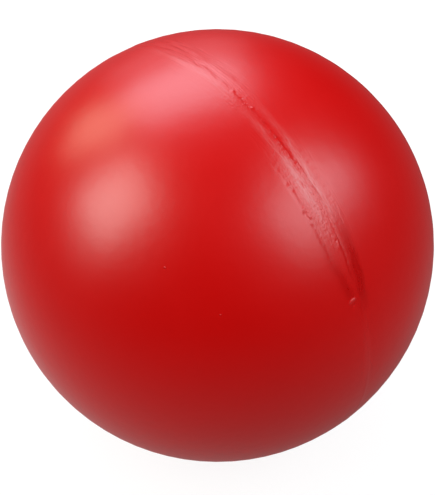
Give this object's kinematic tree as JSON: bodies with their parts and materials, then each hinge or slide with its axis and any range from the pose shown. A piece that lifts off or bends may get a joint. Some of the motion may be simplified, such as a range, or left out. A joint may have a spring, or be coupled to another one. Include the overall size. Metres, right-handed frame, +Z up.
{
  "type": "herding ball",
  "caption": "Hollow hard plastic ball with a trimmed pinch-off seam over its top and a recessed screw plug, for a dog to push and herd.",
  "frame": {"origin": "centre of the ball", "axes": "+Z up along the blown tube, through the middle of the upper pinch-off weld; +X through the fill port; the mould parts in the plane X = 0"},
  "size_m": [0.254, 0.2542, 0.2538],
  "materials": {
    "shell_red": "satin gloss moulded polyethylene with a fine orange-peel skin",
    "trimmed_seam_red": "polyethylene scraped by a trimming knife, duller than the skin",
    "plug_red": "satin injection-moulded polyethylene",
    "gasket_black": "plain black rubber sheet"
  },
  "bodies": {
    "ball": {"left_half_shell": "shell_red", "right_half_shell": "shell_red", "upper_pinch_weld": "trimmed_seam_red", "lower_pinch_weld": "trimmed_seam_red", "front_parting_bead": "shell_red", "back_parting_bead": "shell_red"},
    "gasket": {"plug_gasket": "gasket_black"},
    "plug": {"fill_plug": "plug_red"}
  },
  "joints": [
    {"name": "plug_lift", "type": "slide", "parent": "ball", "child": "gasket", "axis": [1, 0, 0], "range_m": [0, 0.02]},
    {"name": "plug_turn", "type": "hinge", "parent": "gasket", "child": "plug", "pos_m": [0.1, 0, 0], "axis": [1, 0, 0], "range_deg": [0, 1801]}
  ],
  "couplings": [
    {"joint": "plug_turn", "follows": "plug_lift", "rad_per_m": 1570.8}
  ]
}
